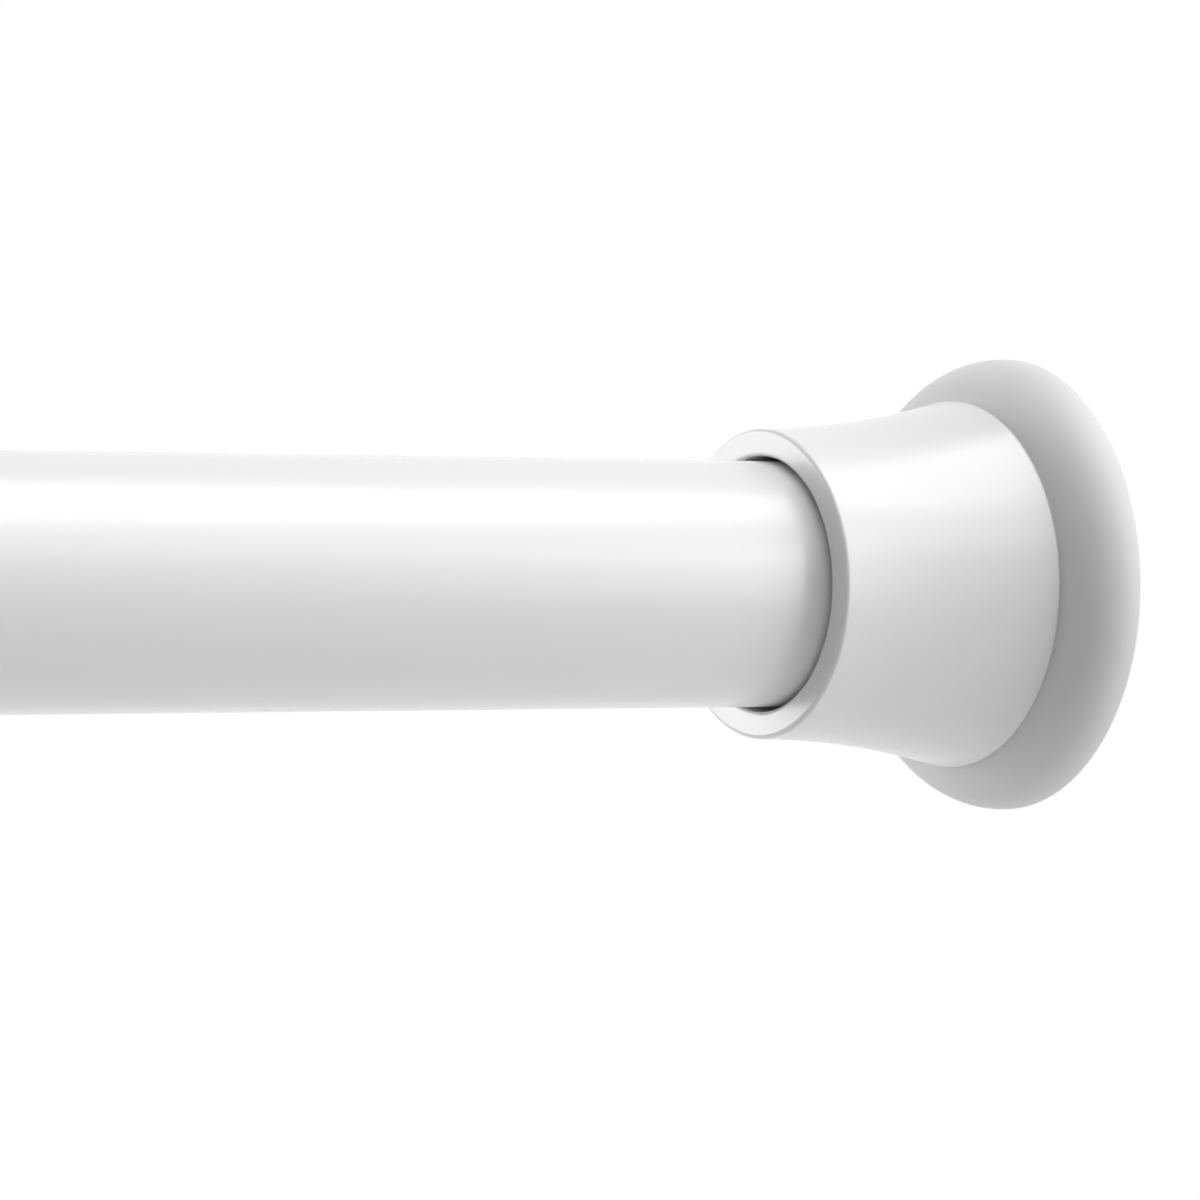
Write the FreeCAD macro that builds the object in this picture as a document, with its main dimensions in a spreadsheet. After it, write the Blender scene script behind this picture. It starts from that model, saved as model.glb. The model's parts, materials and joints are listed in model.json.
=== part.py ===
import FreeCAD, Part
import math
import os
import re

import Sketcher

# Spring tension rod: two telescoping tubes between two walls, a spring inside the thinner tube and a
# screw-driven expander that grips the wider one.
# Millimetres. The rod lies along X, the right wall's face is the plane X = 0 and +Z is up.

SIZES = {
    # wall to wall, as shown
    "rest_length": 508.0,
    # the three wall-side layers: foot, collar web, tube end
    "foot_thickness": 6.94,
    "web_thickness": 2.0,
    # tubes
    "outer_radius": 12.7,
    "outer_wall": 0.7,
    "outer_length": 361.0,
    "inner_radius": 11.1,
    "inner_wall": 0.7,
    "inner_length": 250.0,
    # soft feet
    "foot_radius": 23.78,
    "foot_front_radius": 18.8,
    "foot_dome": 6.55,
    "foot_rim": 0.4,
    "foot_edge": 0.3,
    "foot_back": 2.0,
    "tread_first": 9.0,
    "tread_step": 4.0,
    "tread_width": 1.2,
    "tread_depth": 0.5,
    # end plugs
    "head_radius": 20.0,
    "head_thickness": 3.0,
    "plug_length": 25.0,
    "plug_wall": 3.2,
    "plug_floor": 3.0,
    "plug_slot": 2.4,
    "plug_slot_length": 14.0,
    "plug_lead": 0.8,
    # flared collars
    "collar_length": 24.7,
    "collar_base_radius": 19.38,
    "collar_rim_radius": 16.02,
    "collar_flare": 102.0,
    "collar_edge": 0.45,
    "collar_bore_edge": 0.4,
    "collar_gap": 0.5,
    "collar_bore_length": 7.0,
    "collar_step": 3.0,
    "collar_cavity_front": 14.5,
    "collar_cavity_back": 16.9,
    "passing_gap": 0.1,
    # bush in the outer tube's mouth
    "bush_length": 18.0,
    "bush_flange": 3.0,
    "bush_lip": 0.6,
    "bush_round": 1.0,
    "bush_lead": 0.3,
    "running_gap": 0.05,
    # guide bush in the inner tube's mouth and the groove rolled over it
    "guide_length": 16.0,
    "guide_flange": 2.0,
    "guide_clearance": 0.3,
    "roll_centre": 8.0,
    "roll_half": 1.5,
    "roll_half_bottom": 0.8,
    "roll_depth": 0.6,
    # shaft
    "hex_flat": 4.0,
    "hex_length": 88.5,
    "hex_clearance": 0.3,
    "shoulder_radius": 7.0,
    "shoulder_thickness": 2.5,
    "screw_radius": 4.0,
    "screw_length": 55.0,
    "screw_chamfer": 0.8,
    "screw_clearance": 0.3,
    "clip_groove_radius": 3.0,
    "clip_groove_width": 1.3,
    "clip_setback": 3.4,
    "clip_thickness": 1.1,
    "clip_radius": 5.6,
    "clip_fit": 0.02,
    # gap that the spring travel uses up, from the guide bush to the shaft's shoulder
    "travel_gap": 27.5,
    # follower
    "follower_gap": 0.3,
    "follower_radius": 9.8,
    "follower_thickness": 5.0,
    "pilot_radius": 6.4,
    "follower_hub": 6.0,
    "follower_pin_radius": 1.25,
    "pin_setback": 0.2,
    "hex_fit": 0.02,
    # spring
    "spring_length": 70.0,
    "coil_radius": 8.0,
    "wire_radius": 0.9,
    "end_pitch": 2.1,
    "active_coils": 12,
    # seat and anchor
    "washer_thickness": 1.2,
    "seat_hole": 6.8,
    "anchor_length": 16.0,
    "anchor_boss": 5.0,
    "anchor_recess": 4.0,
    "anchor_recess_radius": 7.0,
    "anchor_pin_radius": 1.5,
    "anchor_pin_setback": 0.1,
    # expander sleeve
    "thrust_radius": 9.5,
    "thrust_play": 0.2,
    "sleeve_length": 40.0,
    "sleeve_gap": 0.05,
    "sleeve_hub": 10.0,
    "sleeve_cavity_radius": 7.6,
    "sleeve_cone_start": 22.0,
    "sleeve_mouth_radius": 10.2,
    "sleeve_slot": 2.0,
    "sleeve_slot_start": 12.0,
    "tooth_start": 24.0,
    "tooth_width": 1.0,
    "tooth_depth": 0.35,
    "tooth_span": 12.0,
    "ring_groove_start": 4.0,
    "ring_groove_width": 2.0,
    "ring_groove_radius": 10.3,
    "ring_section": 0.82,
    "ring_squeeze": 0.02,
    # cone nut
    "nut_entry": 14.0,
    "nut_head": 4.0,
    "nut_gap": 0.3,
    "key_width": 1.4,
    "key_radius": 11.2,
    "key_length": 15.0,
}

# Sizes that follow from the ones above.
DERIVED = {
    "tube_start": "foot_thickness + web_thickness",
    "outer_bore": "outer_radius - outer_wall",
    "inner_bore": "inner_radius - inner_wall",
    "inner_mouth": "tube_start + inner_length - rest_length",
    "head_front": "foot_back + head_thickness",
    "plug_end": "tube_start + plug_length",
    "hex_point": "hex_flat / cos(30 deg)",
    "hex_point_half": "hex_point / 2",
    "hole_flat": "hex_flat + hex_clearance",
    "hole_point": "hole_flat / cos(30 deg)",
    "hole_point_half": "hole_point / 2",
    "snug_flat": "hex_flat + hex_fit",
    "snug_point": "snug_flat / cos(30 deg)",
    "snug_point_half": "snug_point / 2",
    "follower_face": "inner_mouth - guide_length - follower_gap",
    "spring_right": "follower_face - follower_thickness",
    "spring_left": "spring_right - spring_length",
    "anchor_face": "spring_left - washer_thickness",
    "spring_rise": "spring_length - 2 * wire_radius - 2 * end_pitch",
    "shoulder_left": "inner_mouth + guide_flange + travel_gap",
    "shaft_left": "shoulder_left - hex_length",
    "shaft_pin": "spring_right - follower_hub / 2 - shaft_left",
    "screw_start": "hex_length + shoulder_thickness",
    "shaft_length": "screw_start + screw_length",
    "clip_groove_end": "shaft_length - clip_setback",
    "clip_groove_start": "clip_groove_end - clip_groove_width",
    "thrust_left": "shaft_left + screw_start",
    "sleeve_left": "thrust_left + washer_thickness + thrust_play",
    "sleeve_radius": "outer_bore - sleeve_gap",
    "cone_slope": "(sleeve_mouth_radius - sleeve_cavity_radius) / (sleeve_length - sleeve_cone_start)",
    "nut_small_radius": "sleeve_mouth_radius - cone_slope * nut_entry - nut_gap",
    "nut_large_radius": "sleeve_mouth_radius - nut_gap",
    "nut_length": "nut_entry + nut_head",
    "sleeve_slot_half": "sleeve_slot / 2",
    "plug_slot_half": "plug_slot / 2",
    "key_half": "key_width / 2",
    "ring_centre": "outer_bore - ring_squeeze - ring_section",
    "anchor_middle": "anchor_length / 2",
    "follower_pin_length": "2 * pilot_radius - 2 * pin_setback",
    "anchor_pin_length": "2 * inner_radius - 2 * anchor_pin_setback",
}

TREADS = 3
PLUG_SLOTS = 4
SLEEVE_SLOTS = 4
TEETH = 5
CLIP_ANGLE = 270.0

ALIAS = re.compile(r"\b(?!cos\b|deg\b)[a-z_]+\b")
SAME = 1e-4

doc = FreeCAD.newDocument("tension_rod")
sheet = doc.addObject("Spreadsheet::Sheet", "Dims")
pieces = []


def fill_sheet():
    rows = [(alias, str(number)) for alias, number in SIZES.items()]
    rows += [(alias, "=" + formula) for alias, formula in DERIVED.items()]
    for row, (alias, content) in enumerate(rows, start=1):
        sheet.set("A%d" % row, alias)
        sheet.set("B%d" % row, content)
        sheet.setAlias("B%d" % row, alias)
    doc.recompute()


def bound(expression):
    """The expression with each size's name pointed at its cell."""
    return ALIAS.sub(lambda found: "Dims." + found.group(), expression)


def value(expression):
    """The number that a sum of sizes comes to now."""
    total = 0.0
    sign = 1.0
    for word in expression.replace("-", " - ").split():
        if word in ("+", "-"):
            sign = -1.0 if word == "-" else 1.0
            continue
        number = float(word) if word[0].isdigit() else float(sheet.get(word))
        total += sign * number
    return total


def origin_feature(body, role):
    return [item for item in body.Origin.OriginFeatures if item.Role == role][0]


def place(piece, at, turned):
    """Puts a piece's own origin on the rod's axis, turned about Z where it faces the other wall."""
    angle = 180.0 if turned else 0.0
    piece.Placement = FreeCAD.Placement(FreeCAD.Vector(), FreeCAD.Rotation(FreeCAD.Vector(0, 0, 1), angle))
    piece.setExpression("Placement.Base.x", bound(at))
    pieces.append(piece)


def new_body(label, at, turned=False):
    body = doc.addObject("PartDesign::Body", label)
    body.Label = label
    place(body, at, turned)
    return body


def new_sketch(body, name, plane):
    sketch = body.newObject("Sketcher::SketchObject", name)
    sketch.AttachmentSupport = [(origin_feature(body, plane), "")]
    sketch.MapMode = "FlatFace"
    return sketch


def arc_between(start, end, radius):
    """The short anticlockwise arc of a bend. A positive radius runs it from start to end, with its
    centre left of the way; a negative one runs it from end to start, with its centre right of it."""
    if radius < 0:
        return arc_between(end, start, -radius)
    chord = end - start
    left = FreeCAD.Vector(-chord.y, chord.x, 0).normalize()
    depth = math.sqrt(radius * radius - chord.Length ** 2 / 4)
    crown = (start + end) * 0.5 - left * (radius - depth)
    return Part.Arc(start, crown, end)


def pin_coordinate(sketch, kind, geometry, point, text):
    """Holds one coordinate of a corner to its sum of sizes, measured from the sketch's origin."""
    if text == "0":
        axis = -2 if kind == "DistanceX" else -1
        sketch.addConstraint(Sketcher.Constraint("PointOnObject", geometry, point, axis))
        return
    if text.startswith("-"):
        ends = (geometry, point, -1, 1)
        text = text[1:]
    else:
        ends = (-1, 1, geometry, point)
    number = sketch.addConstraint(Sketcher.Constraint(kind, *ends, value(text)))
    sketch.setExpression("Constraints[%d]" % number, bound(text))


def outline(body, name, corners, bends=None, plane="XY_Plane"):
    """A closed, fully held outline. Corners are pairs of sums of sizes. Bends maps the number of an
    edge to the size of its arc's radius, with a minus sign where the centre lies right of the way."""
    bends = bends or {}
    sketch = new_sketch(body, name, plane)
    points = [FreeCAD.Vector(value(x), value(y), 0) for x, y in corners]
    count = len(points)
    ends = []
    for index, start in enumerate(points):
        end = points[(index + 1) % count]
        if index in bends:
            sketch.addGeometry(arc_between(start, end, value(bends[index])))
        else:
            sketch.addGeometry(Part.LineSegment(start, end))
        ends.append((2, 1) if bends.get(index, "").startswith("-") else (1, 2))
    for index in range(count):
        after = (index + 1) % count
        corner = (index, ends[index][1], after, ends[after][0])
        sketch.addConstraint(Sketcher.Constraint("Coincident", *corner))
        if index in bends:
            number = sketch.addConstraint(Sketcher.Constraint("Radius", index, abs(value(bends[index]))))
            sketch.setExpression("Constraints[%d]" % number, bound(bends[index].lstrip("-")))
    for axis, kind, level in ((0, "DistanceX", "Vertical"), (1, "DistanceY", "Horizontal")):
        texts = [corner[axis] for corner in corners]
        shared = [
            texts[index] == texts[(index + 1) % count] and index not in bends for index in range(count)
        ]
        for index in range(count):
            if shared[index]:
                sketch.addConstraint(Sketcher.Constraint(level, index))
            held = index > 0 and (shared[index - 1] or (index == count - 1 and shared[index]))
            if not held:
                pin_coordinate(sketch, kind, index, ends[index][0], texts[index])
    return sketch


def circle(body, name, radius, centre="0", plane="XY_Plane"):
    """A circle with its centre on the sketch's first axis."""
    sketch = new_sketch(body, name, plane)
    middle = FreeCAD.Vector(value(centre), 0, 0)
    sketch.addGeometry(Part.Circle(middle, FreeCAD.Vector(0, 0, 1), value(radius)))
    pin_coordinate(sketch, "DistanceX", 0, 3, centre)
    pin_coordinate(sketch, "DistanceY", 0, 3, "0")
    number = sketch.addConstraint(Sketcher.Constraint("Radius", 0, value(radius)))
    sketch.setExpression("Constraints[%d]" % number, bound(radius))
    return sketch


def hexagon(body, name, flat, point, point_half):
    """A six-sided section across the rod's axis, given by half its width over flats and its corners."""
    corners = [
        (point, "0"),
        (point_half, flat),
        ("-" + point_half, flat),
        ("-" + point, "0"),
        ("-" + point_half, "-" + flat),
        (point_half, "-" + flat),
    ]
    return outline(body, name, corners, plane="YZ_Plane")


def revolve(body, name, corners, bends=None, kind="PartDesign::Revolution", angle=360.0):
    sketch = outline(body, name + "_outline", corners, bends)
    turned = body.newObject(kind, name)
    turned.Profile = sketch
    turned.ReferenceAxis = (sketch, ["H_Axis"])
    turned.Angle = angle
    doc.recompute()
    return turned


def cut_through(body, name, sketch, both_ways=True):
    """A pocket right through the body, both ways from the sketch or on its upper side only."""
    before = body.Shape.Volume
    pocket = body.newObject("PartDesign::Pocket", name)
    pocket.Profile = sketch
    pocket.Type = "ThroughAll"
    if both_ways:
        pocket.Midplane = True
    else:
        pocket.Reversed = True
    doc.recompute()
    if body.Shape.Volume >= before:
        raise RuntimeError(body.Label + ": " + name + " cuts nothing")
    return pocket


def repeat_round(body, name, feature, count):
    pattern = body.newObject("PartDesign::PolarPattern", name)
    pattern.Originals = [feature]
    pattern.Axis = (origin_feature(body, "X_Axis"), [""])
    pattern.Angle = 360.0
    pattern.Occurrences = count
    body.Tip = pattern
    doc.recompute()
    return pattern


def ring_edges(body, spots):
    """The names of the circular edges at the given places along and off the axis."""
    names = []
    for along, off in spots:
        x, radius = value(along), value(off)
        found = [
            "Edge%d" % number
            for number, edge in enumerate(body.Tip.Shape.Edges, start=1)
            if edge.Curve.TypeId == "Part::GeomCircle"
            and abs(edge.Curve.Center.x - x) < SAME
            and abs(edge.Curve.Radius - radius) < SAME
        ]
        if not found:
            raise RuntimeError("%s: no edge at %s, %s" % (body.Label, along, off))
        names += found
    return names


def dress_rings(body, kind, name, setting, size, spots):
    base = body.Tip
    names = ring_edges(body, spots)
    dressed = body.newObject(kind, name)
    dressed.Base = (base, names)
    dressed.setExpression(setting, bound(size))
    doc.recompute()
    return dressed


def round_rings(body, name, size, spots):
    return dress_rings(body, "PartDesign::Fillet", name, "Radius", size, spots)


def chamfer_rings(body, name, size, spots):
    return dress_rings(body, "PartDesign::Chamfer", name, "Size", size, spots)


def make_ring(label, at, bore, radius, length):
    """A plain tube or washer."""
    ring = new_body(label, at)
    corners = [("0", bore), ("0", radius), (length, radius), (length, bore)]
    revolve(ring, "ring", corners)
    return ring


def make_foot(label, at, turned, opening):
    """Soft foot, from the wall's face outwards, stretched over the plug's head."""
    foot = new_body(label, at, turned)
    corners = [
        ("0", "0"),
        ("0", "foot_radius - foot_edge"),
        ("foot_edge", "foot_radius"),
        ("foot_rim", "foot_radius"),
        ("foot_thickness", "foot_front_radius"),
        ("foot_thickness", opening),
        ("head_front", opening),
        ("head_front", "head_radius"),
        ("foot_back", "head_radius"),
        ("foot_back", "0"),
    ]
    revolve(foot, "dome", corners, bends={1: "-foot_edge", 3: "-foot_dome"})
    for number in range(TREADS):
        inner = " + ".join(["tread_first"] + ["tread_step"] * number)
        outer = inner + " + tread_width"
        groove = [("0", inner), ("0", outer), ("tread_depth", outer), ("tread_depth", inner)]
        revolve(foot, "tread_%d" % (number + 1), groove, kind="PartDesign::Groove")
    return foot


def make_plug(label, at, turned, radius):
    """End plug: a wide head inside the foot and a hollow, slotted body pressed into the tube."""
    plug = new_body(label, at, turned)
    core = radius + " - plug_wall"
    corners = [
        ("foot_back", "0"),
        ("foot_back", "head_radius"),
        ("head_front", "head_radius"),
        ("head_front", radius),
        ("plug_end", radius),
        ("plug_end", core),
        ("head_front + plug_floor", core),
        ("head_front + plug_floor", "0"),
    ]
    revolve(plug, "plug", corners)
    chamfer_rings(plug, "lead_in", "plug_lead", [("plug_end", radius)])
    start = "plug_end - plug_slot_length"
    slot = [
        (start, "-plug_slot_half"),
        ("plug_end", "-plug_slot_half"),
        ("plug_end", "plug_slot_half"),
        (start, "plug_slot_half"),
    ]
    cut = cut_through(plug, "slot", outline(plug, "slot_outline", slot), both_ways=False)
    repeat_round(plug, "slots", cut, PLUG_SLOTS)
    return plug


def make_collar(label, at, turned, tube_radius, web_hole):
    """Flared collar, from its base outwards, with a web that the tube's end holds to the foot."""
    collar = new_body(label, at, turned)
    bore = tube_radius + " + collar_gap"
    bore_end = "collar_length - collar_bore_length"
    corners = [
        ("0", web_hole),
        ("0", "collar_base_radius"),
        ("collar_length", "collar_rim_radius"),
        ("collar_length", bore),
        (bore_end, bore),
        (bore_end + " - collar_step", "collar_cavity_front"),
        ("web_thickness", "collar_cavity_back"),
        ("web_thickness", web_hole),
    ]
    revolve(collar, "flare", corners, bends={1: "collar_flare"})
    outer_edges = [("0", "collar_base_radius"), ("collar_length", "collar_rim_radius")]
    round_rings(collar, "outer_rounds", "collar_edge", outer_edges)
    round_rings(collar, "bore_round", "collar_bore_edge", [("collar_length", bore)])
    return collar


def make_mouth_bush():
    bush = new_body("mouth_bush", "-tube_start - outer_length - bush_flange")
    bore = "inner_radius + running_gap"
    lip = "outer_radius + bush_lip"
    end = "bush_flange + bush_length"
    corners = [
        ("0", bore),
        ("0", lip),
        ("bush_flange", lip),
        ("bush_flange", "outer_bore"),
        (end, "outer_bore"),
        (end, bore),
    ]
    revolve(bush, "bush", corners)
    round_rings(bush, "lip_round", "bush_round", [("0", lip)])
    chamfer_rings(bush, "leads", "bush_lead", [("0", bore), (end, "outer_bore")])
    return bush


def rolled(near, far, radius, forward):
    """Corners of the rolled groove, near its shallow shoulders and far at its bottom."""
    corners = [
        (near + " - roll_half", radius),
        (near + " - roll_half_bottom", far),
        (near + " + roll_half_bottom", far),
        (near + " + roll_half", radius),
    ]
    return corners if forward else corners[::-1]


def make_inner_tube():
    tube = new_body("inner_tube", "tube_start - rest_length")
    groove = "inner_length - roll_centre"
    corners = [("0", "inner_bore"), ("0", "inner_radius")]
    corners += rolled(groove, "inner_radius - roll_depth", "inner_radius", True)
    corners += [("inner_length", "inner_radius"), ("inner_length", "inner_bore")]
    corners += rolled(groove, "inner_bore - roll_depth", "inner_bore", False)
    revolve(tube, "wall", corners)
    hole = "anchor_face - anchor_middle - tube_start + rest_length"
    cut_through(tube, "pin_hole", circle(tube, "pin_circle", "anchor_pin_radius", hole))
    return tube


def make_guide_bush():
    bush = new_body("guide_bush", "inner_mouth - guide_length")
    flange = "outer_bore - guide_clearance"
    end = "guide_length + guide_flange"
    corners = [("0", "0"), ("0", "inner_bore")]
    corners += rolled("guide_length - roll_centre", "inner_bore - roll_depth", "inner_bore", True)
    corners += [("guide_length", "inner_bore"), ("guide_length", flange), (end, flange), (end, "0")]
    revolve(bush, "bush", corners)
    section = hexagon(bush, "hole_section", "hole_flat", "hole_point", "hole_point_half")
    cut_through(bush, "hex_hole", section)
    return bush


def make_shaft():
    shaft = new_body("lock_shaft", "shaft_left")
    pad = shaft.newObject("PartDesign::Pad", "hex_bar")
    pad.Profile = hexagon(shaft, "hex_section", "hex_flat", "hex_point", "hex_point_half")
    pad.setExpression("Length", bound("hex_length"))
    doc.recompute()
    corners = [
        ("hex_length", "0"),
        ("hex_length", "shoulder_radius"),
        ("screw_start", "shoulder_radius"),
        ("screw_start", "screw_radius"),
        ("clip_groove_start", "screw_radius"),
        ("clip_groove_start", "clip_groove_radius"),
        ("clip_groove_end", "clip_groove_radius"),
        ("clip_groove_end", "screw_radius"),
        ("shaft_length", "screw_radius"),
        ("shaft_length", "0"),
    ]
    revolve(shaft, "shoulder_and_screw", corners)
    chamfer_rings(shaft, "tip", "screw_chamfer", [("shaft_length", "screw_radius")])
    cut_through(shaft, "pin_hole", circle(shaft, "pin_circle", "follower_pin_radius", "shaft_pin"))
    return shaft


def make_stop_clip():
    """Open clip in the groove near the screw's end."""
    at = "shaft_left + clip_groove_start + clip_fit"
    clip = new_body("stop_clip", at)
    bore = "clip_groove_radius + clip_fit"
    corners = [
        ("0", bore),
        ("0", "clip_radius"),
        ("clip_thickness", "clip_radius"),
        ("clip_thickness", bore),
    ]
    revolve(clip, "clip", corners, angle=CLIP_ANGLE)
    return clip


def make_follower():
    follower = new_body("spring_follower", "spring_right - follower_hub")
    face = "follower_hub + follower_thickness"
    corners = [
        ("0", "0"),
        ("0", "pilot_radius"),
        ("follower_hub", "pilot_radius"),
        ("follower_hub", "follower_radius"),
        (face, "follower_radius"),
        (face, "0"),
    ]
    revolve(follower, "follower", corners)
    section = hexagon(follower, "hole_section", "snug_flat", "snug_point", "snug_point_half")
    cut_through(follower, "hex_hole", section)
    middle = "shaft_pin + shaft_left - spring_right + follower_hub"
    hole = circle(follower, "pin_circle", "follower_pin_radius", middle)
    cut_through(follower, "pin_hole", hole)
    return follower


def make_pin(label, at, radius, length):
    """A straight pin across the rod, along Z."""
    pin = doc.addObject("Part::Cylinder", label)
    pin.Label = label
    pin.setExpression("Radius", bound(radius))
    pin.setExpression("Height", bound(length))
    place(pin, at, False)
    pin.setExpression("Placement.Base.z", "-" + bound(length) + " / 2")
    return pin


def make_coils(spring, name, start, kind, settings):
    """Coils wound about the rod's axis from a wire section at the given place."""
    sketch = new_sketch(spring, name + "_wire", "XY_Plane")
    centre = FreeCAD.Vector(value(start), value("coil_radius"), 0)
    sketch.addGeometry(Part.Circle(centre, FreeCAD.Vector(0, 0, 1), value("wire_radius")))
    pin_coordinate(sketch, "DistanceX", 0, 3, start)
    pin_coordinate(sketch, "DistanceY", 0, 3, "coil_radius")
    number = sketch.addConstraint(Sketcher.Constraint("Radius", 0, value("wire_radius")))
    sketch.setExpression("Constraints[%d]" % number, bound("wire_radius"))
    coils = spring.newObject("PartDesign::AdditiveHelix", name)
    coils.Profile = sketch
    coils.ReferenceAxis = (sketch, ["H_Axis"])
    coils.Mode = kind
    for setting, expression in settings.items():
        coils.setExpression(setting, bound(expression))
    doc.recompute()
    return coils


def make_spring():
    """Compression spring at its fitted length: one close coil at each end, open coils between."""
    spring = new_body("compression_spring", "spring_left")
    close = {"Pitch": "end_pitch", "Turns": "1"}
    open_coils = {"Height": "spring_rise", "Turns": "active_coils"}
    first_open = "wire_radius + end_pitch"
    make_coils(spring, "left_coil", "wire_radius", "pitch-turns-angle", close)
    make_coils(spring, "open_coils", first_open, "height-turns-angle", open_coils)
    make_coils(spring, "right_coil", first_open + " + spring_rise", "pitch-turns-angle", close)
    return spring


def make_anchor():
    anchor = new_body("spring_anchor", "anchor_face - anchor_length")
    boss_end = "anchor_length + anchor_boss"
    corners = [
        ("anchor_recess", "0"),
        ("anchor_recess", "anchor_recess_radius"),
        ("0", "anchor_recess_radius"),
        ("0", "inner_bore"),
        ("anchor_length", "inner_bore"),
        ("anchor_length", "pilot_radius"),
        (boss_end, "pilot_radius"),
        (boss_end, "0"),
    ]
    revolve(anchor, "anchor", corners)
    cut_through(anchor, "pin_hole", circle(anchor, "pin_circle", "anchor_pin_radius", "anchor_middle"))
    return anchor


def make_sleeve():
    """Slotted sleeve with a cone inside its open end and small teeth where it grips."""
    sleeve = new_body("expander_sleeve", "sleeve_left")
    hub_bore = "screw_radius + screw_clearance"
    ring_end = "ring_groove_start + ring_groove_width"
    corners = [
        ("0", hub_bore),
        ("0", "sleeve_radius"),
        ("ring_groove_start", "sleeve_radius"),
        ("ring_groove_start", "ring_groove_radius"),
        (ring_end, "ring_groove_radius"),
        (ring_end, "sleeve_radius"),
        ("sleeve_length", "sleeve_radius"),
        ("sleeve_length", "sleeve_mouth_radius"),
        ("sleeve_cone_start", "sleeve_cavity_radius"),
        ("sleeve_hub", "sleeve_cavity_radius"),
        ("sleeve_hub", hub_bore),
    ]
    revolve(sleeve, "sleeve", corners)
    tooth_end = "tooth_start + tooth_width"
    notch = [
        ("tooth_start", "sleeve_radius - tooth_depth"),
        ("tooth_start", "sleeve_radius"),
        (tooth_end, "sleeve_radius"),
        (tooth_end, "sleeve_radius - tooth_depth"),
    ]
    tooth = revolve(sleeve, "tooth_gap", notch, kind="PartDesign::Groove")
    teeth = sleeve.newObject("PartDesign::LinearPattern", "tooth_gaps")
    teeth.Originals = [tooth]
    teeth.Direction = (origin_feature(sleeve, "X_Axis"), [""])
    teeth.setExpression("Length", bound("tooth_span"))
    teeth.Occurrences = TEETH
    sleeve.Tip = teeth
    doc.recompute()
    slot = [
        ("sleeve_slot_start", "-sleeve_slot_half"),
        ("sleeve_length", "-sleeve_slot_half"),
        ("sleeve_length", "sleeve_slot_half"),
        ("sleeve_slot_start", "sleeve_slot_half"),
    ]
    cut = cut_through(sleeve, "slot", outline(sleeve, "slot_outline", slot), both_ways=False)
    repeat_round(sleeve, "slots", cut, SLEEVE_SLOTS)
    return sleeve


def make_drag_ring():
    ring = doc.addObject("Part::Torus", "drag_ring")
    ring.Label = "drag_ring"
    ring.setExpression("Radius1", bound("ring_centre"))
    ring.setExpression("Radius2", bound("ring_section"))
    ring.Placement = FreeCAD.Placement(FreeCAD.Vector(), FreeCAD.Rotation(FreeCAD.Vector(0, 1, 0), 90))
    ring.setExpression("Placement.Base.x", bound("sleeve_left + ring_groove_start + ring_groove_width / 2"))
    pieces.append(ring)
    return ring


def make_cone_nut():
    """Cone nut, from its small end outwards, with keys that run in the sleeve's slots."""
    nut = new_body("cone_nut", "sleeve_left + sleeve_length - nut_entry")
    corners = [
        ("0", "0"),
        ("0", "nut_small_radius"),
        ("nut_entry", "nut_large_radius"),
        ("nut_length", "nut_large_radius"),
        ("nut_length", "0"),
    ]
    revolve(nut, "cone", corners)
    key = [
        ("0", "-key_half"),
        ("key_length", "-key_half"),
        ("key_length", "key_half"),
        ("0", "key_half"),
    ]
    pad = nut.newObject("PartDesign::Pad", "key")
    pad.Profile = outline(nut, "key_outline", key)
    pad.setExpression("Length", bound("key_radius"))
    doc.recompute()
    repeat_round(nut, "keys", pad, SLEEVE_SLOTS)
    bore = circle(nut, "bore_circle", "screw_radius + screw_clearance", plane="YZ_Plane")
    cut_through(nut, "bore", bore)
    return nut


def make_ends():
    """Foot, plug and collar at each wall; the left ones fit the thinner tube."""
    sides = (
        ("right", True, "0", "-foot_thickness"),
        ("left", False, "-rest_length", "foot_thickness - rest_length"),
    )
    for side, turned, wall, collar_at in sides:
        tube_radius = "outer_radius" if turned else "inner_radius"
        bore = "outer_bore" if turned else "inner_bore"
        passing = bore + " + passing_gap"
        make_plug(side + "_end_plug", wall, turned, bore)
        make_foot(side + "_foot_pad", wall, turned, passing)
        make_collar(side + "_collar", collar_at, turned, tube_radius, passing)


def make_rod():
    make_ring("outer_tube", "-tube_start - outer_length", "outer_bore", "outer_radius", "outer_length")
    make_mouth_bush()
    make_ends()
    make_inner_tube()
    make_guide_bush()
    make_anchor()
    make_pin("anchor_pin", "anchor_face - anchor_middle", "anchor_pin_radius", "anchor_pin_length")
    make_ring("seat_washer", "anchor_face", "seat_hole", "follower_radius", "washer_thickness")
    make_spring()
    make_shaft()
    make_follower()
    make_pin("follower_pin", "shaft_left + shaft_pin", "follower_pin_radius", "follower_pin_length")
    screw_bore = "screw_radius + screw_clearance"
    make_ring("thrust_washer", "thrust_left", screw_bore, "thrust_radius", "washer_thickness")
    make_sleeve()
    make_drag_ring()
    make_cone_nut()
    make_stop_clip()


def check_document():
    for item in doc.Objects:
        if "Invalid" in item.State or "Error" in item.State:
            raise RuntimeError(item.Label + " is in state " + ", ".join(item.State))
        if item.isDerivedFrom("Sketcher::SketchObject") and not item.FullyConstrained:
            raise RuntimeError(item.Label + " is not fully held")
    for piece in pieces:
        if piece.Shape.isNull() or not piece.Shape.isValid():
            raise RuntimeError(piece.Label + " has no valid shape")
        if len(piece.Shape.Solids) != 1:
            raise RuntimeError(piece.Label + " is not one solid")


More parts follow.
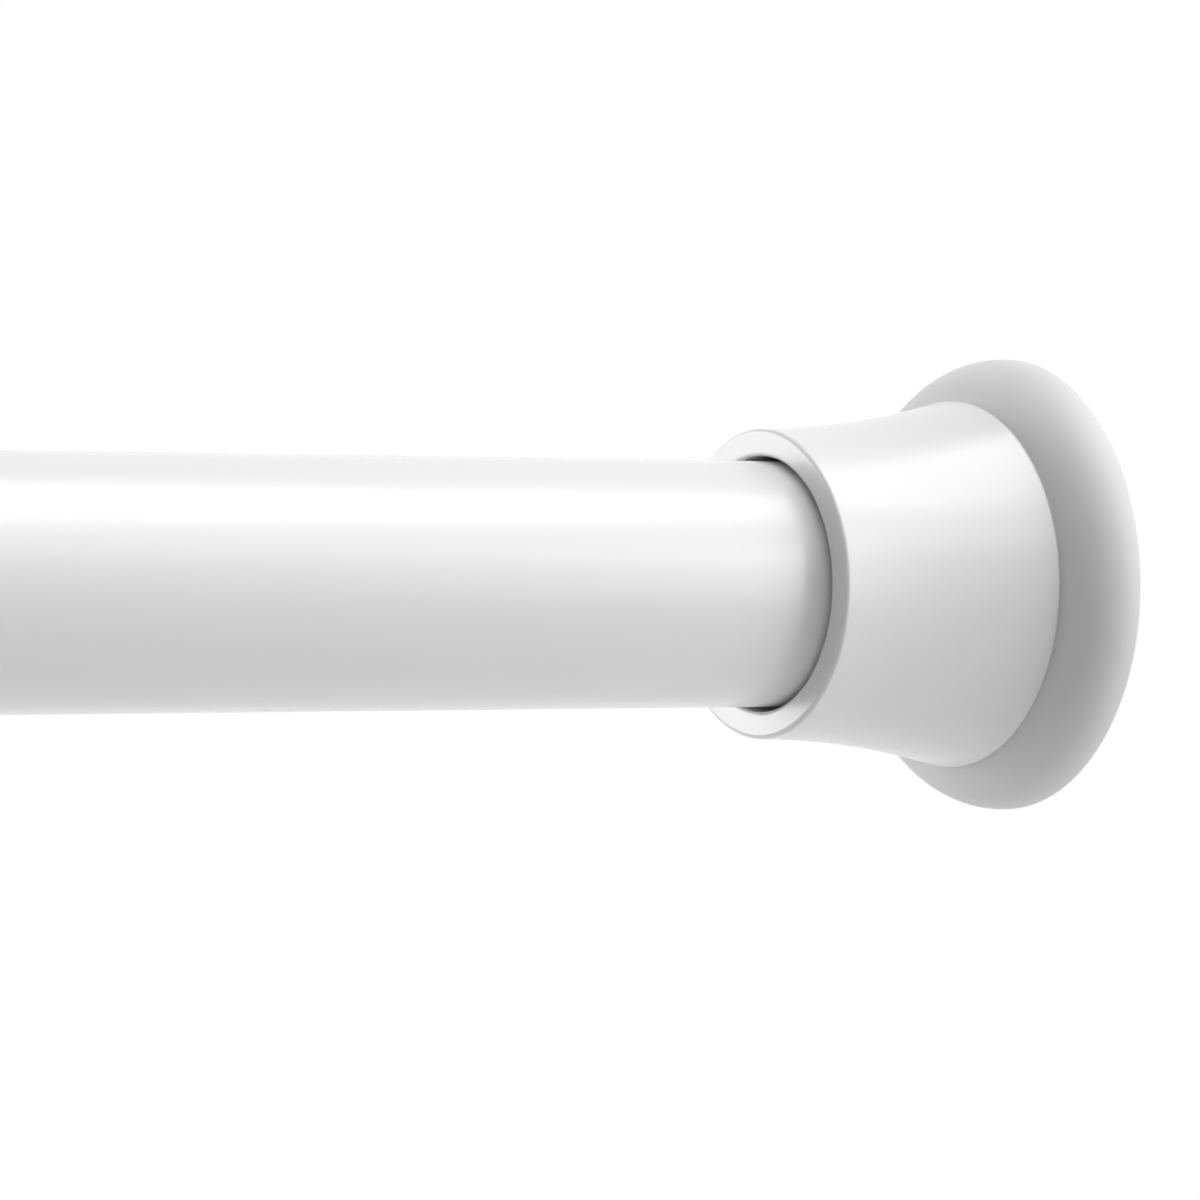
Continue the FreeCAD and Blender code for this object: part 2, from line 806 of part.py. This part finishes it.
fill_sheet()
make_rod()
doc.recompute()
check_document()
os.makedirs("parts", exist_ok=True)
for piece in pieces:
    piece.Shape.exportStep("parts/" + piece.Label + ".step")
    box = piece.Shape.BoundBox
    print("%-20s %9.3f to %9.3f  volume %10.2f" % (piece.Label, box.XMin, box.XMax, piece.Shape.Volume))
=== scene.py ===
import json
import math

import bpy
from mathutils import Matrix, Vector


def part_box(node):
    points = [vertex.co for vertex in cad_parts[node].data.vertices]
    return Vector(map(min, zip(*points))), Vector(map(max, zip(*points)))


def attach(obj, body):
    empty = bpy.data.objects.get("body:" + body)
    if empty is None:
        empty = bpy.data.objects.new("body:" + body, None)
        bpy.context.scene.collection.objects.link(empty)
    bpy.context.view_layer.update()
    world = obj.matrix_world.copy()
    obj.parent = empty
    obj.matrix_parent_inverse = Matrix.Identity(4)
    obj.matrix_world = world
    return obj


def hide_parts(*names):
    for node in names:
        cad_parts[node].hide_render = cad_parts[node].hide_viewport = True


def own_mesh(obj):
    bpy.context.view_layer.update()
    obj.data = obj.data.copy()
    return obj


# Metres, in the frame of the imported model: X along the rod, the right wall's face at X = 0, +Z up.
MM = 0.001

# Camera: level, looking along the rod towards the right wall, with the photograph's perspective.
CAMERA_TURN = 32.954
CAMERA_PLACE = (-0.41289, -0.55822, -0.00165)
CAMERA_LENS = 196.46
CAMERA_SENSOR = 36.0
CAMERA_NEAR = 0.01
CAMERA_FAR = 20.0

# Studio: a pale round floor well below the rod, and softboxes aimed at the right collar's rim.
ROD_MIDDLE = -0.254
FLOOR_DROP = 0.2
FLOOR_RADIUS = 1.2
FLOOR_SIDES = 96
FLOOR_GLOW = 0.6
RIM_CENTRE = (-0.03164, 0.0, 0.0)
LIGHT_DISTANCE = 1.3
LIGHT_SIDE = 0.85
ROOM_LEVEL = 0.056

# name, degrees right of the camera, degrees up, watts
LIGHTS = (
    ("overhead", 0.0, 88.0, 3.23),
    ("left_high", -90.0, 64.0, 1.58),
    ("front_right_high", 30.0, 64.0, 2.57),
    ("right_high", 90.0, 64.0, 4.91),
    ("front_right_middle", 60.0, 38.0, 2.69),
    ("right_low", 90.0, 6.0, 10.87),
    ("back_left_low", 246.0, 8.0, 7.43),
)

# Spring, with the sizes of its solid: one close coil at each end and open coils between.
WIRE_RADIUS = 0.9 * MM
COIL_RADIUS = 8.0 * MM
END_PITCH = 2.1 * MM
OPEN_COILS = 12
WIRE_SIDES = 16
STEPS_A_COIL = 48
WELD = 0.001 * MM
SMOOTH_BELOW = 50.0

# Mix's two colours and its mixed colour are sockets without names of their own.
FIRST_COLOUR = 6
SECOND_COLOUR = 7
MIXED_COLOUR = 2


def linear(code):
    """An sRGB hex colour as linear red, green, blue and alpha."""
    channels = [int(code[start:start + 2], 16) / 255 for start in (1, 3, 5)]
    turned = [c / 12.92 if c <= 0.04045 else ((c + 0.055) / 1.055) ** 2.4 for c in channels]
    return (*turned, 1.0)


def add_node(tree, kind, inputs=None, **settings):
    """One node with its settings, and its inputs as numbers, colours or other nodes' outputs."""
    node = tree.nodes.new(kind)
    for name, setting in settings.items():
        setattr(node, name, setting)
    for socket, given in (inputs or {}).items():
        if isinstance(given, bpy.types.NodeSocket):
            tree.links.new(given, node.inputs[socket])
        else:
            node.inputs[socket].default_value = given
    return node


def start_material(name):
    """An empty material, with the coordinates that its patterns read."""
    material = bpy.data.materials.new(name)
    material.use_nodes = True
    tree = material.node_tree
    tree.nodes.clear()
    return material, tree, add_node(tree, "ShaderNodeTexCoord").outputs["Object"]


def add_surface(tree, tint, gloss, relief, colours, roughness, height, settings):
    """A shader coloured by the pattern tint, roughened by gloss and raised by relief.

    colours and roughness are the least and the most, height is the relief's in millimetres, and
    settings are the shader's own."""
    first, second = colours
    least, most = roughness
    shade = {0: tint, FIRST_COLOUR: linear(first), SECOND_COLOUR: linear(second)}
    shade = add_node(tree, "ShaderNodeMix", shade, data_type="RGBA")
    spread = add_node(tree, "ShaderNodeMapRange", {"Value": gloss, "To Min": least, "To Max": most})
    bump = add_node(tree, "ShaderNodeBump", {"Height": relief, "Distance": height * MM})
    surface = {
        "Base Color": shade.outputs[MIXED_COLOUR],
        "Roughness": spread.outputs["Result"],
        "Normal": bump.outputs["Normal"],
    }
    return add_node(tree, "ShaderNodeBsdfPrincipled", {**surface, **settings}).outputs["BSDF"]


def make_moulding(name, wave, grain, **look):
    """A painted or moulded material whose colour and roughness drift in waves over a finer grain.

    wave and grain are each a size in millimetres and a noise detail."""
    material, tree, place = start_material(name)
    patterns = []
    for size, detail in (wave, grain):
        noise = {"Vector": place, "Scale": 1 / (size * MM), "Detail": detail}
        patterns.append(add_node(tree, "ShaderNodeTexNoise", noise).outputs["Fac"])
    waves, grains = patterns
    surface = add_surface(tree, tint=waves, gloss=waves, relief=grains, **look)
    add_node(tree, "ShaderNodeOutputMaterial", {"Surface": surface})
    return material


def powder_coat():
    """Polyester powder sprayed on steel tube and baked: white, glossy under a clear skin, with a
    film that hardly changes and an orange peel of 1.6 mm waves that only softens reflections."""
    return make_moulding(
        "white_powder_coat",
        wave=(30.0, 1.0),
        grain=(1.6, 1.0),
        colours=("#EDEDED", "#EFEFEF"),
        roughness=(0.31, 0.36),
        height=0.002,
        settings={"IOR": 1.5, "Coat Weight": 1.0, "Coat Roughness": 0.25},
    )


def polished_plastic():
    """ABS moulded against polished steel: white, glossy, with long faint flow marks and a ripple
    that is drawn at 0.9 mm, a few times its real size, so that it shows."""
    return make_moulding(
        "polished_white_abs",
        wave=(14.0, 1.0),
        grain=(0.9, 2.0),
        colours=("#EDEDED", "#EFEFEF"),
        roughness=(0.3, 0.35),
        height=0.002,
        settings={"IOR": 1.53, "Coat Weight": 0.7, "Coat Roughness": 0.25},
    )


def satin_plastic():
    """Acetal moulded against fine spark-eroded steel: natural white and satin. The grain, really
    about 0.05 mm, is drawn at 0.5 mm so that it shows."""
    return make_moulding(
        "natural_white_acetal",
        wave=(10.0, 1.0),
        grain=(0.5, 2.0),
        colours=("#E6E6E4", "#EBEBE9"),
        roughness=(0.38, 0.5),
        height=0.005,
        settings={"IOR": 1.48},
    )


def moulded_rubber(name, colours, light_carried):
    """Soft thermoplastic rubber from an eroded mould: satin, with light carried a little way under
    its surface where it is white. The grain, really about 0.05 mm, is drawn at 0.35 mm."""
    return make_moulding(
        name,
        wave=(12.0, 1.0),
        grain=(0.35, 3.0),
        colours=colours,
        roughness=(0.48, 0.62),
        height=0.006,
        settings={
            "IOR": 1.51,
            "Subsurface Weight": light_carried,
            "Subsurface Radius": (1.0, 0.9, 0.8),
            "Subsurface Scale": 1.0 * MM,
        },
    )


def steel(name, colours, roughness, stretch):
    """Steel with a faint bloom and with tool marks drawn out along the way it was turned or pulled.
    The marks are drawn 1 mm apart, many times their real spacing, so that they show."""
    material, tree, place = start_material(name)
    drawn = add_node(tree, "ShaderNodeMapping", {"Vector": place, "Scale": stretch})
    marks = {"Vector": drawn.outputs["Vector"], "Scale": 1 / (1.0 * MM), "Detail": 4.0}
    marks = add_node(tree, "ShaderNodeTexNoise", marks).outputs["Fac"]
    bloom = {"Vector": place, "Scale": 1 / (3.0 * MM), "Detail": 2.0}
    bloom = add_node(tree, "ShaderNodeTexNoise", bloom).outputs["Fac"]
    surface = add_surface(
        tree,
        tint=bloom,
        gloss=marks,
        relief=marks,
        colours=colours,
        roughness=roughness,
        height=0.004,
        settings={"Metallic": 1.0},
    )
    add_node(tree, "ShaderNodeOutputMaterial", {"Surface": surface})
    return material


def make_finishes():
    """The finish of each material slot in the record."""
    satin = satin_plastic()
    turned, drawn = (1.0, 0.1, 0.1), (0.3, 1.0, 1.0)
    return {
        "tube_paint": powder_coat(),
        "collar_plastic": polished_plastic(),
        "foot_rubber": moulded_rubber("white_moulded_rubber", ("#E7E7E7", "#E9E9E9"), 0.15),
        "bush_plastic": satin,
        "plug_plastic": satin,
        "zinc_steel": steel("zinc_plated_steel", ("#B9BCC0", "#CACDD0"), (0.29, 0.42), turned),
        "spring_steel": steel("drawn_spring_wire", ("#8E9196", "#A4A7AB"), (0.29, 0.4), drawn),
        "ring_rubber": moulded_rubber("black_moulded_rubber", ("#161616", "#1D1D1D"), 0.0),
    }


def dress(frame, finishes):
    """Gives each CAD node the finish of its slot."""
    slots = {entry["node"]: entry["material_slot"] for entry in frame["record"]["subparts"]}
    for name, node in frame["nodes"].items():
        for slot in node.material_slots:
            slot.material = finishes[slots[name]]


def wind(start, pitch, turns):
    """Wire wound about the rod's axis from start along it, pitch metres a turn."""
    bpy.ops.object.select_all(action="DESELECT")
    at = (start, COIL_RADIUS, 0.0)
    bpy.ops.mesh.primitive_circle_add(vertices=WIRE_SIDES, radius=WIRE_RADIUS, location=at)
    bpy.ops.object.transform_apply(location=True)
    wire = bpy.context.object
    winding = wire.modifiers.new("winding", "SCREW")
    winding.axis = "X"
    winding.angle = math.tau
    winding.screw_offset = pitch
    winding.iterations = turns
    winding.steps = STEPS_A_COIL
    winding.render_steps = STEPS_A_COIL
    bpy.ops.object.modifier_apply(modifier="winding")
    return wire


def make_spring(finish):
    """The compression spring, wound to its solid's size and hung from the inner rod's body. The real
    one shortens against its follower; this mesh keeps its length.
    """
    low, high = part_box("compression_spring")
    first = low[0] + WIRE_RADIUS
    last = high[0] - WIRE_RADIUS - END_PITCH
    open_pitch = (last - first - END_PITCH) / OPEN_COILS
    coils = [
        wind(first, END_PITCH, 1),
        wind(first + END_PITCH, open_pitch, OPEN_COILS),
        wind(last, END_PITCH, 1),
    ]
    for coil in coils:
        coil.select_set(True)
    bpy.ops.object.join()
    spring = bpy.context.object
    spring.name = "spring_coils"
    bpy.ops.object.mode_set(mode="EDIT")
    bpy.ops.mesh.select_all(action="SELECT")
    bpy.ops.mesh.remove_doubles(threshold=WELD)
    bpy.ops.mesh.fill_holes(sides=WIRE_SIDES)
    bpy.ops.mesh.normals_make_consistent(inside=False)
    bpy.ops.object.mode_set(mode="OBJECT")
    bpy.ops.object.shade_smooth_by_angle(angle=math.radians(SMOOTH_BELOW))
    spring.data.materials.append(finish)
    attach(spring, "inner_rod")
    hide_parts("compression_spring")
    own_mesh(spring)


def background_share(tree, to_camera):
    """How much of the plain white background a ray sees: all of it in reflections and through
    glass, to_camera of it directly."""
    path = add_node(tree, "ShaderNodeLightPath").outputs
    direct = {0: path["Is Camera Ray"], 1: to_camera}
    direct = add_node(tree, "ShaderNodeMath", direct, operation="MULTIPLY").outputs["Value"]
    bent = {0: path["Is Glossy Ray"], 1: path["Is Transmission Ray"]}
    bent = add_node(tree, "ShaderNodeMath", bent, operation="MAXIMUM").outputs["Value"]
    either = add_node(tree, "ShaderNodeMath", {0: direct, 1: bent}, operation="MAXIMUM")
    return either.outputs["Value"]


def make_floor():
    """Pale studio card, matt, with a faint 2 mm mottle, glowing white in part to the camera and
    wholly in reflections, so that it stays pale everywhere and still takes the object's shadow."""
    bpy.ops.object.select_all(action="DESELECT")
    middle = (ROD_MIDDLE, 0.0, -FLOOR_DROP)
    bpy.ops.mesh.primitive_circle_add(
        vertices=FLOOR_SIDES, radius=FLOOR_RADIUS, fill_type="NGON", location=middle
    )
    bpy.ops.object.transform_apply(location=True)
    floor = bpy.context.object
    floor.name = "studio_floor"
    material, tree, place = start_material("pale_studio_card")
    mottle = {"Vector": place, "Scale": 1 / (2.0 * MM), "Detail": 3.0}
    mottle = add_node(tree, "ShaderNodeTexNoise", mottle).outputs["Fac"]
    card = add_surface(
        tree,
        tint=mottle,
        gloss=mottle,
        relief=mottle,
        colours=("#D2D2D2", "#D6D6D6"),
        roughness=(0.75, 0.85),
        height=0.02,
        settings={"IOR": 1.45},
    )
    white = add_node(tree, "ShaderNodeEmission", {"Color": linear("#FFFFFF"), "Strength": 1.0})
    lit = {0: background_share(tree, FLOOR_GLOW), 1: card, 2: white.outputs["Emission"]}
    lit = add_node(tree, "ShaderNodeMixShader", lit).outputs["Shader"]
    add_node(tree, "ShaderNodeOutputMaterial", {"Surface": lit})
    floor.data.materials.append(material)


def make_light(name, turn, rise, power):
    """A square softbox aimed at the collar's rim, its direction counted from the camera's."""
    azimuth = math.radians(180.0 - CAMERA_TURN + turn)
    lift = math.radians(rise)
    level = math.cos(lift)
    away = Vector((-math.sin(azimuth) * level, math.cos(azimuth) * level, math.sin(lift)))
    bpy.ops.object.light_add(type="AREA", location=Vector(RIM_CENTRE) + away * LIGHT_DISTANCE)
    light = bpy.context.object
    light.name = name
    light.rotation_euler = away.to_track_quat("Z", "Y").to_euler()
    light.data.shape = "SQUARE"
    light.data.size = LIGHT_SIDE
    light.data.energy = power
    light.visible_camera = False


def make_world():
    """Faint room light, and plain white where the camera or a reflection sees past the object."""
    world = bpy.data.worlds.new("studio")
    world.use_nodes = True
    tree = world.node_tree
    tree.nodes.clear()
    plain = linear("#FFFFFF")
    room = add_node(tree, "ShaderNodeBackground", {"Color": plain, "Strength": ROOM_LEVEL})
    white = add_node(tree, "ShaderNodeBackground", {"Color": plain, "Strength": 1.0})
    seen = {
        0: background_share(tree, 1.0),
        1: room.outputs["Background"],
        2: white.outputs["Background"],
    }
    seen = add_node(tree, "ShaderNodeMixShader", seen).outputs["Shader"]
    add_node(tree, "ShaderNodeOutputWorld", {"Surface": seen})
    bpy.context.scene.world = world


def make_camera():
    """A level camera where the photograph's was."""
    turn = (math.radians(90.0), 0.0, math.radians(-CAMERA_TURN))
    bpy.ops.object.camera_add(location=CAMERA_PLACE, rotation=turn)
    camera = bpy.context.object
    camera.name = "camera"
    camera.data.lens = CAMERA_LENS
    camera.data.sensor_width = CAMERA_SENSOR
    camera.data.clip_start = CAMERA_NEAR
    camera.data.clip_end = CAMERA_FAR
    bpy.context.scene.camera = camera


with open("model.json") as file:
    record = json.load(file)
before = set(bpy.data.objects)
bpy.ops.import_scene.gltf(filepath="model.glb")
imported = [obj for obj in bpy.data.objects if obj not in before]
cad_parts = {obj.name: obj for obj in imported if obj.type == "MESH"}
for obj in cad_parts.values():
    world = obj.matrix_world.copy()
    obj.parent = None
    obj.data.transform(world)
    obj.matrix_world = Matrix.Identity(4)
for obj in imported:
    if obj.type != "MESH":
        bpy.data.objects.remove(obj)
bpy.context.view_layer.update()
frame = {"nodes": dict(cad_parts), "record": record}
finishes = make_finishes()
dress(frame, finishes)
make_spring(finishes["spring_steel"])
make_floor()
for light in LIGHTS:
    make_light(*light)
make_world()
make_camera()
bpy.context.scene.view_settings.view_transform = "Standard"
